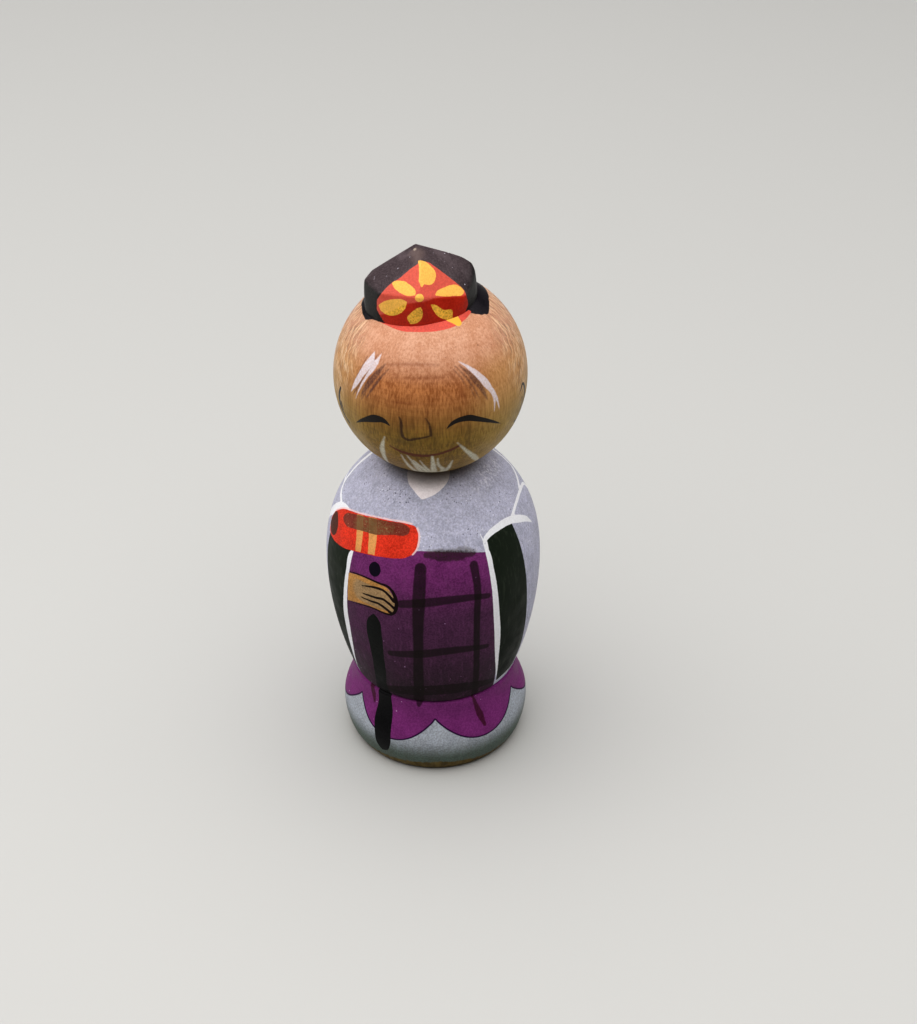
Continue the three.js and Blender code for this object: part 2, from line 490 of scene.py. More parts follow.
    robe.fill(
        "knob",
        [
            (-37.3, 34.6), (-36, 35.35), (-33.6, 35.65), (-31.1, 35.4), (-29.8, 34.7), (-31.1, 33.9),
            (-33.3, 33.6), (-36, 33.8),
        ],
    )
    robe.stroke("fingers", [(-38, 30.6), (-22, 30.4)], 4.6, 4.6)
    robe.fill("staff", STAFF_LEFT, STAFF_RIGHT)


SCALLOP_VALLEYS = [-176, -119, -61, -0.5, 64.5, 125, 184]


def paint_skirt(skirt):
    """The purple petals of the underskirt on the pale foot, and what runs down over it from the robe."""
    edge = []
    for i, (start, stop) in enumerate(zip(SCALLOP_VALLEYS[:-1], SCALLOP_VALLEYS[1:])):
        depth = (3.7, 3.5, 3.75, 3.6, 3.55, 3.7)[i]
        for t in np.linspace(0, 1, 40, endpoint=False):
            edge.append((start + (stop - start) * t, 9.15 - depth * math.sin(math.pi * t) ** 0.88))
    edge = np.array(edge)
    heights = np.interp(skirt.places[:, 0], edge[:, 0], edge[:, 1], period=360)
    path = skirt.traced([[tuple(place) for place in edge]])[1]
    away = nearest(skirt.points, np.vstack([path, path[:1]]))[0]
    skirt.add("petals", slice(None), np.where(skirt.places[:, 1] > heights, -away, away))
    bare = np.interp(skirt.places[:, 0], [-180, -60, -30, 3, 32, 70, 180], [1.2, 1, 1.5, 2.1, 1.3, 1, 1.2])
    skirt.add("foot", slice(None), bare - skirt.places[:, 1])

    skirt.stroke("maroon", [(26.4, 11.9), (28.8, 10.2), (31.2, 8.4), (32.9, 7)], 0.3, 0.6, 1.0, 0.5)
    skirt.stroke("maroon", [(-50.5, 11.9), (-48, 10.4), (-46.8, 9.4)], 0.7, 0.9, 0.4)
    skirt.stroke("plaid_up", [(-11.2, 12.2), (-11.5, 11.6), (-11.7, 11.2)], 1.3, 0.9, 0.5)
    skirt.fill("staff", STAFF_LEFT, STAFF_RIGHT)


# Paint on the head


def paint_head(head):
    """The face, brows, beard and ears, and the paint of the hat that ran down onto the crown."""
    head.fill(
        "ink",
        [(-51.5, -2.5), (-42.5, -0.7), (-34.1, 0.4), (-28, 0.3), (-23.6, -0.75)],
        [(-29, -0.4), (-34.3, -0.75), (-40.8, -1.25)],
    )
    head.fill(
        "ink",
        [(8.2, -0.65), (12, 0.5), (17.6, 0.95), (22.5, 0.95), (28.4, 0.35), (38, -0.95), (47, -2.5)],
        [(36, -1.2), (25.8, -0.2), (20.8, 0.15), (15.1, 0.15), (11.2, -0.2)],
    )
    head.stroke(
        "nose",
        [
            (-18.6, 0.95), (-17.6, 0.35), (-17.4, -0.6), (-17.3, -1.4), (-16.2, -2.1), (-14, -2.3),
            (-9.1, -2.05),
            (-4.4, -1.75), (-1, -1.5),
        ],
        0.22, 0.42, 0.36, 0.4, 0.4, 0.32, 0.2,
    )
    head.stroke("nose", [(-3.3, 1.1), (-1.6, 0.5), (-0.6, -0.4), (-0.3, -1.45)], 0.14, 0.26, 0.3, 0.28)
    head.stroke(
        "mouth",
        [
            (-26.3, -3.95), (-21, -4.55), (-13.4, -4.95), (-4.9, -5.05), (4.4, -4.7), (12.5, -4.05),
            (17.1, -3.55),
        ],
        0.2, 0.5, 0.62, 0.55, 0.46, 0.48, 0.4,
    )

    # White brows with grey hairs under them
    for hair, widths in (
        ([(-51.6, 3.2), (-54, 1.9)], (0.25, 0.06)),
        ([(-47.4, 2.7), (-49.2, 1.4)], (0.2, 0.06)),
        ([(20, 7.45), (28, 6.25), (35, 4.45), (39.3, 2.6), (39.2, 0.2)], (0.1, 0.6, 0.95, 0.4, 0.06)),
        ([(35, 4.5), (40.5, 2.5), (43.3, 0)], (0.6, 0.4, 0.06)),
    ):
        head.stroke("brow", hair, *widths)
    head.fill(
        "brow",
        [(-42.8, 7.75), (-45.4, 6.9), (-47.3, 6.2), (-50.2, 4.6), (-52, 3.6), (-53.8, 1.9)],
        [(-48.6, 3.4), (-45.3, 4.75), (-41.6, 6)],
        [(-43.2, 5.2), (-45.4, 4.1), (-47.6, 2.8), (-48.8, 1.6)],
        [(-45.2, 3.45), (-41.6, 4.9), (-38.6, 5.85), (-36.7, 6.9), (-36.6, 7.85)],
        [(-38.9, 7.2), (-40.4, 6.75)],
        [(-41.2, 7.2)],
    )
    for hair, widths in (
        (
            [(-31.4, 6.9), (-34.6, 6.05), (-38.6, 4.75), (-41.4, 3.8), (-45, 2.1)],
            (0.14, 0.66, 0.8, 0.6, 0.1),
        ),
        (
            [(-28.2, 6.5), (-31.4, 5.7), (-35.2, 4.45), (-39.2, 2.9), (-40.6, 2.3)],
            (0.12, 0.3, 0.4, 0.3, 0.08),
        ),
        ([(-40.2, 6.2), (-44.9, 4.6), (-47.8, 3.3), (-52, 1.7)], (0.06, 0.16, 0.3, 0.1)),
        ([(-40.3, 3.5), (-44.5, 1.7)], (0.06, 0.16, 0.05)),
        ([(-39.2, 7.6), (-41.4, 6.5), (-43.4, 5.7)], (0.05, 0.14, 0.05)),
        ([(-47.2, 6.9), (-49, 5.4), (-52.8, 3.2)], (0.05, 0.16, 0.05)),
        ([(19.5, 7.1), (24, 6.25), (29, 4.9), (31.8, 3.9), (34.6, 2.3)], (0.1, 0.5, 0.75, 0.6, 0.12)),
        ([(16.6, 7.1), (21.5, 6), (24.7, 5), (27.4, 3.9), (29.6, 2.7)], (0.06, 0.2, 0.24, 0.06)),
        ([(15.2, 6.8), (19.5, 5.7), (22.5, 4.4)], (0.05, 0.16, 0.04)),
        ([(24, 4.6), (27, 2.9)], (0.05, 0.18, 0.05)),
    ):
        head.stroke("brow_shade", hair, *widths)
    for line, widths in (
        ([(13.2, 6.4), (17.5, 4.9), (20.6, 3)], (0.1, 0.3, 0.1)),
        ([(16.6, 5.6), (18.4, 4.3), (19.7, 2.6)], (0.1, 0.25, 0.1)),
        ([(-30, 6.9), (-14, 7.4), (5.2, 7.4)], (0.15, 0.3, 0.15)),
        ([(-27, 5.6), (-10, 6), (8, 6.1)], (0.1, 0.25, 0.1)),
        ([(-26, 2.75), (-15.9, 2.95), (-6, 3.1)], (0.1, 0.3, 0.1)),
    ):
        head.stroke("wrinkle", line, *widths)

    # Thin white beard
    for hair, widths in (
        ([(-28.7, -2.6), (-33.2, -5.2), (-36.2, -7.5), (-40.8, -9.6)], (0.1, 0.75, 0.6, 0.15)),
        ([(15.4, -3), (22.7, -5), (31, -7), (39, -8.7)], (0.08, 0.5, 0.8, 0.55)),
        ([(-19.8, -5.4), (-17.8, -7.4), (-15, -9.8)], (0.12, 0.5, 0.65)),
        ([(-16, -5.3), (-12.6, -7), (-9.5, -9.8)], (0.12, 0.6, 0.75)),
        ([(-12.4, -6.2), (-8.5, -7.8), (-3.5, -10)], (0.2, 0.55, 0.6)),
        ([(-7.9, -6.2), (-5, -7.8), (-1, -10)], (0.12, 0.4, 0.55)),
        ([(0.2, -5.2), (0.9, -7.4), (1.9, -10)], (0.25, 0.72, 0.8)),
        ([(3.8, -5.6), (5, -7.4), (8.4, -8.6), (9, -10)], (0.12, 0.4, 0.6, 0.5)),
        ([(14, -6.5), (13, -8), (11.8, -10)], (0.15, 0.55, 0.6)),
        ([(-14, -7), (-9, -7.4)], (0.2, 0.5, 0.2)),
        ([(-17, -9.9), (-4, -10.1), (11, -10)], (0.5, 0.8, 0.5)),
    ):
        head.stroke("beard", hair, *widths)

    # Ears
    right_ear = [
        (66, 0.3), (69, 0.9), (72.4, 0.1), (73.6, -0.8), (74, -2.4), (72, -4), (68, -4.6), (64, -4.2),
    ]
    right_fold = [(68.5, -0.9), (70, -2), (68.5, -3.2)]
    left_ear = [
        (-66, 1.1), (-68, 0.1), (-68.8, -0.8), (-68.4, -1.5), (-67.4, -2.15), (-64.6, -2.95),
        (-60.5, -3.5),
    ]
    left_fold = [(-66, -0.9), (-65.4, -1.5), (-64.4, -2)]
    for line, width in ((right_ear, 0.46), (right_fold, 0.24), (left_ear, 0.56), (left_fold, 0.34)):
        head.stroke("ink", line, width * 0.6, width, width, width * 0.7)

    # Hair, thin on top and all round the back, as coordinates that follow it down and forwards
    azimuth, height = head.places.T
    aside = np.abs(azimuth)
    fringe = np.interp(height, [-2, 2, 5, 8, 10], [66, 58, 54, 56, 60])
    lowest = np.interp(aside, [55, 70, 80, 105, 180], [-2, -1.5, 0, -3, -4.5])
    edge = np.minimum((aside - fringe) * head.reach, (height - lowest) * 0.8)
    head.coats["hair"] = np.clip(-edge, -6, 6)
    head.coats["hair_across"] = aside * head.reach + 0.08 * np.minimum(height - 8, 0) ** 2
    head.coats["hair_down"] = -height
    head.coats["side"] = np.abs(azimuth - FRONT)

    # Paint that ran down from the hat: red in front, black at the sides and back
    head.fill(
        "crown_red",
        [(-54, 10.25), (-41.6, 10.3), (-28, 10.25), (-9, 10.4), (11.6, 10.5), (26.8, 10.65), (52, 11.15)],
        [(40, 12.4), (0, 12.6), (-40, 12.4), (-54, 10.9)],
        [],
    )
    ring = np.array([
        (-180, 10), (-150, 9.9), (-125, 9.5), (-104, 9.3), (-92, 9.55), (-80, 9.6), (-70, 9.55),
        (-62, 10.1),
        (-54, 10.2), (-44, 12), (0, 12.8), (40, 12.6), (50, 11.1), (60, 10.5), (68, 10.15), (80, 10.4),
        (92, 10.5), (104, 10.4), (125, 10.1), (150, 10.2), (180, 10),
    ])
    limit = np.interp(azimuth, ring[:, 0], ring[:, 1])
    head.coats["crown_black"] = np.clip((limit - height) * 1.6, -FAR, FAR)
    head.fill(
        "crown_yellow",
        [(17.9, 11.25), (26.6, 11.4), (32.8, 11.35), (33.5, 10.8), (29.5, 10.55), (24.1, 10.88)],
    )


# The hat


HAT_TILT = math.radians(36)  # how far the front of the hat leans back
FLOWER = np.array([-1.19, -6.61, 71.81])  # the middle of the flower painted on it
HAT_ROUNDING = 90  # how sharp its pared edges are


class Hat(Surface):
    """The pared hat. Its places are mm across and up its front, from the middle of the painted flower."""

    def __init__(self, rows, around):
        points = cad_points("hat")
        head = cad_points("head")
        low, high = points.min(0), points.max(0)
        middle = (low + high) / 2
        crown = head[:, 2].max()
        # A place inside the hat from which its whole surface is seen
        core = np.array([middle[0] - 0.2, -0.8, crown + 3.2])

        planes = set()
        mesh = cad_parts["hat"].data
        for face in mesh.polygons:
            normal = np.array(face.normal)
            offset = normal @ (np.array(mesh.vertices[face.vertices[0]].co) / MM)
            if (points @ normal).max() < offset + 1e-3 and abs(normal[2]) > 0.05:
                planes.add((*normal.round(4), round(float(offset - normal @ core), 3)))
        planes = np.array(sorted(planes))

        polar = np.linspace(-90, 90, rows + 2)[1:-1]
        turn = np.radians(np.linspace(-180, 180, around, endpoint=False))
        rise = np.radians(polar)[:, None]
        way = np.stack(
            [np.cos(rise) * np.sin(turn), -np.cos(rise) * np.cos(turn), np.sin(rise) * np.ones_like(turn)],
            axis=-1,
        ).reshape(-1, 3)

        # How far it is from the core to the round wall, to the pared facets and to the head below
        wall = (high - low)[:2] / 2
        offset = (core - middle)[:2] / wall
        flat = way[:, :2] / wall
        a = (flat**2).sum(1)
        b = flat @ offset
        c = offset @ offset - 1
        near = [a / (np.sqrt(b * b - a * c) - b)]
        for plane in planes:
            near.append(np.maximum(way @ plane[:3], 0) / plane[3])
        near = np.array(near)
        upper = np.array([False, *(planes[:, 2] > 0.6)])
        wall = 1 / near[~upper].max(0) - 1 / np.maximum(near[upper].max(0), 0.01)
        near = (near**HAT_ROUNDING).sum(0) ** (1 / HAT_ROUNDING)
        reach = 1 / near

        size = np.array([head[:, 0].max(), head[:, 0].max(), crown - HEAD_MIDDLE]) - 0.1
        start = (core - [0, 0, HEAD_MIDDLE]) / size
        ray = way / size
        a = (ray**2).sum(1)
        b = ray @ start
        inner = b * b - a * (start @ start - 1)
        touch = np.where((inner > 0) & (b < 0), (-b - np.sqrt(np.maximum(inner, 0))) / a, np.inf)
        reach = np.minimum(reach, touch)
        surface = core + way * reach[:, None]

        across = np.array([1.0, 0, 0])
        out = np.array([0, -math.cos(HAT_TILT), math.sin(HAT_TILT)])
        up = np.cross(out, across)
        places = np.stack([(surface - FLOWER) @ across, (surface - FLOWER) @ up], axis=-1)
        places[(surface - core) @ out <= 0] = (0, 40)
        self.margin = (FAR, FAR)
        super().__init__(surface.reshape(rows, around, 3), places.reshape(rows, around, 2))
        # The steep wall of the hat, where its paint is painted darker as painted shade
        self.coats["wall"] = np.clip(wall, -FAR, FAR)
        self.flat = np.c_[self.places, np.zeros(len(self.places))]

    def traced(self, arcs, closed=False):
        flat = np.vstack([smooth(arc, 0.1, closed) for arc in arcs])
        return flat, np.c_[flat, np.zeros(len(flat))]

    def stroke(self, coat, places, *widths):
        self.on_front(super().stroke, coat, places, *widths)

    def fill(self, coat, *arcs):
        self.on_front(super().fill, coat, *arcs)

    def on_front(self, act, *what):
        """Paints with the lattice laid flat, as seen from in front of the flower."""
        real, self.points = self.points, self.flat
        act(*what)
        self.points = real


def paint_hat(hat):
    """The red front with its yellow flower of six petals."""
    hat.fill(
        "red",
        [(0, 4.3), (-1.15, 3.55), (-2.25, 2.65), (-3.35, 2), (-4.5, 0.9), (-5.15, 0.1)],
        [(-5.2, -0.85), (-5.15, -2), (-4.8, -3), (-4.8, -5)],
        [(6.2, -5)],
        [(6.05, -1.65), (5.95, -0.85), (5.8, 0), (5.4, 1.15)],
        [(4.7, 1.8), (3.3, 2.9), (1.95, 3.9), (1, 4.45)],
    )
    for petal in (
        [
            [(-0.1, 4.62), (0, 3.5), (-0.05, 2.1)],
            [(0.35, 1.3), (0.6, 1.7)],
            [(1.4, 1.65), (2, 2.45), (1.95, 3.25), (1.05, 4.3), (0.4, 4.62)],
        ],
        [
            [(-3.3, 2), (-2.9, 2.25), (-2, 2.2), (-1.15, 1.7), (-0.42, 0.65), (-0.48, 0.3)],
            [(-1.6, 0.35), (-2.25, 0.7), (-2.9, 1.25)],
        ],
        [
            [(-5, -0.5), (-4.25, -0.15), (-3.6, -0.02), (-2.25, -0.02), (-1.5, -0.4)],
            [(-1.8, -1.2), (-2.5, -1.75), (-3.4, -1.85), (-4.2, -1.6), (-4.75, -1.1)],
        ],
        [
            [(0.13, -1.05), (0.38, -1.8), (0.22, -2.35), (-0.25, -2.8), (-1.15, -2.95)],
            [(-1.5, -2.2), (-1.05, -1.7), (-0.5, -1.3)],
        ],
        [
            [(1.35, -0.75), (1.85, -0.75), (2.85, -1.3), (3.9, -1.35), (3.95, -2.2)],
            [(4.7, -2.5), (4.75, -3.3)],
            [(3.2, -2.5), (2.2, -2.1), (1.65, -1.4)],
        ],
        [
            [(1.85, 0.35), (2.2, 0.95), (2.95, 1.35), (4.4, 1.75), (5.05, 1.45)],
            [(5.4, 0.9), (5.1, 0.45), (4.3, 0.35), (2.85, 0.25)],
        ],
    ):
        hat.fill("yellow", *petal)
    hat.stroke("yellow", [(-0.05, 0), (0.05, 0)], 0.95, 0.95)
    hat.stroke("worn", [(-0.52, 6.22), (-0.4, 6.25)], 0.3, 0.22)
    hat.stroke("rubbed", [(-0.6, 6), (-0.2, 5.4), (-0.3, 4.9)], 1.2, 1.8, 1.0)
    # The lower, upright part of the front, where the red and yellow are painted darker as painted shade
    hat.fill(
        "low_front",
        [
            (-6, -2), (-5.2, -1.7), (-4, -1.5), (-2.6, -1), (-1.6, -0.62), (-0.6, -0.55), (0.5, -0.45),
            (1.6, -0.05),
        ],
        [(2.8, 0.2), (4.3, 0.3), (6, 0.6)],
        [(7, -6), (-7, -6)],
    )


# Materials


class Tree:
    """A material's nodes, made one call at a time."""

    def __init__(self, name):
        self.material = bpy.data.materials.new(name)
        self.material.use_nodes = True
        self.nodes = self.material.node_tree.nodes
        self.links = self.material.node_tree.links
        self.shader = self.nodes["Principled BSDF"]
        self.where = self.node("TexCoord").outputs["Object"]

    def put(self, socket, value):
        if isinstance(value, bpy.types.NodeSocket):
            self.links.new(value, socket)
        elif socket.type == "RGBA":
            socket.default_value = (*value, 1)
        else:
            socket.default_value = value

    def node(self, kind, inputs=None, **settings):
        made = self.nodes.new("ShaderNode" + kind)
        for name, value in settings.items():
            setattr(made, name, value)
        for name, value in (inputs or {}).items():
            self.put(made.inputs[name], value)
        return made

    def math(self, operation, a, b=0.0):
        return self.node("Math", {0: a, 1: b}, operation=operation).outputs[0]

    def times(self, a, b):
        return self.math("MULTIPLY", a, b)

    def plus(self, a, b):
        return self.math("ADD", a, b)

    def mix(self, share, a, b):
        """Two colours mixed. A plain colour is given as the eye names it, 0 to 255."""
        a, b = (srgb(*colour) if isinstance(colour, tuple) else colour for colour in (a, b))
        return self.blend(share, a, b)

    def blend(self, share, a, b):
        return self.node("Mix", {0: share, 6: a, 7: b}, data_type="RGBA").outputs[2]

    def between(self, value, start, stop, low=0.0, high=1.0):
        """Low where the value is at or before start, high at or beyond stop, and smooth between them."""
        inputs = {0: value, 1: start, 2: stop, 3: low, 4: high}
        return self.node("MapRange", inputs, interpolation_type="SMOOTHSTEP").outputs[0]

    def per_mm(self, x, y, z):
        """The place on the object, with this many turns of a pattern in each mm."""
        inputs = {"Vector": self.where, "Scale": (x / MM, y / MM, z / MM)}
        return self.node("Mapping", inputs).outputs[0]

    def noise(self, vector, detail, roughness=0.55):
        inputs = {"Vector": vector, "Scale": 1.0, "Detail": detail, "Roughness": roughness}
        return self.node("TexNoise", inputs).outputs[0]

    def coat(self, name):
        return self.node("Attribute", attribute_name=name).outputs["Fac"]

    def specks(self, per_mm, radius, share):
        """Round specks of a radius in mm, in a share of the cells of a pattern."""
        vector = self.per_mm(per_mm, per_mm, per_mm)
        cells = self.node("TexVoronoi", {"Vector": vector, "Scale": 1.0})
        picked = self.node("SeparateColor", {0: cells.outputs["Color"]})
        size = self.times(picked.outputs[1], radius * per_mm)
        dot = self.math("LESS_THAN", cells.outputs["Distance"], size)
        return self.times(dot, self.math("LESS_THAN", picked.outputs[0], share))


class Painting(Tree):
    """A painted surface: coats of paint over each other, from the ground up."""

    def __init__(self, name):
        super().__init__(name)
        self.height = self.node("SeparateXYZ", {0: self.where}).outputs[2]
        self.waver = self.noise(self.per_mm(1.7, 1.7, 1.7), 4)
        self.cloud = self.noise(self.per_mm(0.45, 0.45, 0.45), 3)
        self.grit = self.noise(self.per_mm(4.4, 4.4, 4.4), 2, 0.6)

    def dabs(self, lean, spacing, length, width, start):
        """Dabs of a fine brush down the hair, in mm, that lean forwards by so much in each mm."""
        down = self.coat("hair_down")
        across = self.plus(self.coat("hair_across"), self.times(down, lean))
        across = self.plus(across, self.times(self.cloud, 1.3))
        across = self.plus(across, self.times(self.waver, 0.45))
        place = {0: self.math("DIVIDE", across, spacing), 1: self.math("DIVIDE", down, length), 2: start}
        vector = self.node("CombineXYZ", place).outputs[0]
        cells = self.node("TexVoronoi", {"Vector": vector, "Scale": 1.0}, voronoi_dimensions="2D")
        edge = width / spacing
        return self.between(cells.outputs["Distance"], edge * 1.5, edge)

    def edge(self, coat, shake=0.09, soft=0.035, shift=0.0):
        """1 inside a coat's shapes and 0 outside, with a brushed edge."""
        moved = self.math("MULTIPLY_ADD", self.waver, shake)
        moved.node.inputs[2].default_value = -0.5 * shake + shift
        distance = self.plus(self.coat(coat), moved)
        return self.between(distance, soft, -soft)

    def varied(self, colour, spread=0.12):
        """A colour that is a little darker and lighter from place to place, as brushed paint is."""
        dark = [c * (1 - spread) for c in srgb(*colour)]
        light = [min(c * (1 + spread) + 0.004, 1) for c in srgb(*colour)]
        cloud = self.between(self.cloud, 0.35, 0.65, 0, 0.35)
        grain = self.between(self.grit, 0.35, 0.65, 0, 0.65)
        return self.blend(self.plus(cloud, grain), dark, light)

    def lay(self, mask, colour, cover=1.0):
        """Lays a colour over what is there."""
        share = mask if cover == 1.0 else self.times(mask, cover)
        self.colour = self.mix(share, self.colour, colour)

    def speckle(self, per_mm, radius, share, colour, cover, mask=1.0):
        """Lays specks of a colour, where a mask lets them show."""
        self.lay(self.times(self.specks(per_mm, radius, share), mask), colour, cover)

    def thin(self, low, high):
        """How well a thin coat covers, from place to place."""
        return self.between(self.grit, 0.25, 0.75, low, high)

    def finish(self, roughness, bump, depth, gloss):
        self.put(self.shader.inputs["Base Color"], self.colour)
        self.put(self.shader.inputs["Specular IOR Level"], gloss)
        self.put(self.shader.inputs["Roughness"], roughness)
        inputs = {"Height": bump, "Strength": 1.0, "Distance": depth * MM}
        self.put(self.shader.inputs["Normal"], self.node("Bump", inputs).outputs[0])
        return self.material


def on_turned_wood(paint, gloss):
    """The finish of paint on the body, through which the rings that the lathe left are just seen."""
    turning = paint.noise(paint.per_mm(0.1, 0.1, 5), 2)
    bump = paint.plus(paint.times(turning, 0.5), paint.times(paint.grit, 0.6))
    roughness = paint.between(paint.cloud, 0.3, 0.7, 0.42, 0.58)
    return paint.finish(roughness, bump, 0.02, gloss)


def robe_material():
    robe = Painting("robe_paint")
    robe.colour = robe.varied((180, 180, 198), 0.22)
    robe.lay(robe.between(robe.grit, 0.62, 0.75), (220, 219, 230), 0.45)
    streaks = robe.noise(robe.per_mm(2.6, 2.6, 0.4), 3)
    robe.lay(robe.between(streaks, 0.5, 0.72), (210, 209, 222), 0.4)
    robe.lay(robe.between(streaks, 0.5, 0.3), (150, 150, 170), 0.3)
    pitted = robe.between(robe.cloud, 0.48, 0.6)
    robe.speckle(3.4, 0.11, 0.4, (84, 82, 98), 0.7, pitted)
    robe.speckle(3.1, 0.1, 0.4, (236, 235, 242), 0.7, pitted)
    robe.speckle(1.3, 0.12, 0.1, (84, 82, 96), 0.75)
    pits = robe.edge("pits", 1.2, 0.7)
    robe.speckle(3.8, 0.12, 0.6, (82, 80, 100), 0.8, pits)
    robe.speckle(3.3, 0.11, 0.6, (232, 232, 242), 0.8, pits)
    # Pale scratches and a painted sheen on the right shoulder
    scratched_sheen = robe.times(robe.edge("scuff", 1.2, 0.7), robe.between(streaks, 0.47, 0.6))
    robe.lay(scratched_sheen, (226, 225, 234), robe.thin(0.1, 0.9))

    # The apron is painted darker towards its foot, as painted shade
    middle = robe.between(robe.height, 34.8 * MM, 27.5 * MM)
    low = robe.between(robe.height, 28 * MM, 12 * MM)
    apron = robe.mix(middle, robe.varied((114, 49, 106), 0.3), robe.varied((82, 44, 76), 0.3))
    apron = robe.mix(low, apron, robe.varied((50, 34, 44), 0.3))
    robe.lay(robe.edge("apron"), apron)
    apron_streaks = robe.times(robe.between(streaks, 0.5, 0.75), robe.edge("apron"))
    robe.lay(apron_streaks, (132, 78, 124), 0.22)
    robe.speckle(1.5, 0.11, 0.12, (190, 150, 195), 0.6, robe.edge("apron"))
    dark = robe.varied((24, 16, 14), 0.3)
    robe.lay(robe.edge("plaid_up", 0.16, 0.12), dark, robe.thin(0.7, 0.95))
    robe.lay(robe.edge("plaid_across", 0.16, 0.12), dark, robe.thin(0.62, 0.92))
    robe.lay(robe.edge("smudge", 0.8, 0.2), robe.varied((92, 88, 76), 0.3), robe.thin(0.3, 0.8))
    robe.lay(robe.edge("ragged", 0.8, 0.16), robe.varied((48, 30, 36), 0.3), robe.thin(0.55, 1.0))
    # The sleeves are painted darker towards their foot, as painted shade
    sleeve = robe.mix(robe.between(robe.height, 34 * MM, 15 * MM), (30, 38, 28), (15, 22, 14))
    robe.lay(robe.edge("sleeve"), sleeve)
    sleeve_mottle = robe.times(robe.between(streaks, 0.52, 0.7), robe.edge("sleeve"))
    robe.lay(sleeve_mottle, (62, 68, 56), 0.35)
    robe.lay(robe.edge("white", 0.1), robe.varied((236, 236, 240), 0.06))
    robe.lay(robe.edge("collar"), robe.varied((248, 238, 240), 0.08))
    # Painted shadow of the head, darkening the top of the robe and the collar
    robe.lay(robe.edge("grime", 0.2, 1.1), (66, 58, 52), 0.72)
    robe.lay(robe.edge("scroll", 0.12), robe.varied((214, 60, 38), 0.26))
    robe.speckle(2.4, 0.11, 0.3, (150, 24, 14), 0.7, robe.edge("scroll"))
    robe.lay(robe.edge("halo", 0.1, 0.05), (240, 205, 205), 0.85)
    robe.lay(robe.edge("scroll_end"), robe.varied((84, 44, 32), 0.25))
    bands = robe.edge("band", 0.16)
    mouth = robe.edge("scroll_mouth", 0.16)
    scroll = robe.edge("scroll", 0.12, 0.035, 0.1)
    robe.lay(robe.times(bands, scroll), robe.varied((218, 156, 94), 0.14))
    olive = robe.times(robe.edge("olive", 1.4, 0.5), robe.thin(0.5, 1.0))
    brown = robe.mix(olive, robe.varied((114, 60, 48), 0.4), robe.varied((100, 82, 54), 0.45))
    robe.lay(mouth, brown, robe.thin(0.8, 1.0))
    robe.lay(robe.times(mouth, robe.specks(3.2, 0.12, 0.3)), (176, 128, 96), 0.6)

    wrist = robe.varied((184, 136, 78), 0.3)
    fingers = robe.varied((162, 134, 98), 0.3)
    robe.lay(robe.edge("hand", 0.06), robe.mix(robe.edge("fingers", 0.4, 0.5), wrist, fingers))
    robe.lay(robe.edge("ink", 0.08), (26, 12, 12))
    robe.lay(robe.edge("knob", 0.06), (20, 10, 30))
    robe.lay(robe.edge("staff", 0.1), robe.varied((7, 11, 8), 0.5))
    return on_turned_wood(robe, 0.08)


def skirt_material():
    skirt = Painting("skirt_paint")
    wood = skirt.noise(skirt.per_mm(1.6, 1.6, 0.3), 4)
    skirt.colour = skirt.mix(skirt.between(wood, 0.3, 0.7), (78, 64, 30), (112, 94, 50))
    # The pale paint of the foot is painted darker and greener towards the sole, as painted shade with green
    # light reflected up from below
    foot_shade = skirt.between(skirt.height, 6.2 * MM, 2.6 * MM)
    pale = skirt.mix(foot_shade, skirt.varied((168, 174, 184), 0.18), skirt.varied((90, 104, 98), 0.2))
    skirt.lay(skirt.edge("foot", 1.1, 0.12), pale, skirt.thin(0.8, 1.0))
    skirt.speckle(2.2, 0.12, 0.2, (120, 118, 124), 0.7, skirt.edge("foot", 0.5, 0.06))
    skirt.lay(skirt.edge("petals", 0.05, 0.04, -0.11), (50, 14, 58))
    skirt.lay(skirt.edge("petals", 0.05, 0.04, 0.11), skirt.varied((120, 48, 112), 0.22))
    skirt.speckle(1.5, 0.12, 0.12, (205, 170, 205), 0.6, skirt.edge("petals"))
    skirt.lay(skirt.edge("maroon", 0.16, 0.1), skirt.varied((66, 14, 36), 0.2), 0.85)
    skirt.lay(skirt.edge("plaid_up", 0.16, 0.1), (50, 14, 40), 0.85)
    skirt.lay(skirt.edge("staff", 0.1), skirt.varied((10, 9, 12), 0.3))
    return on_turned_wood(skirt, 0.1)


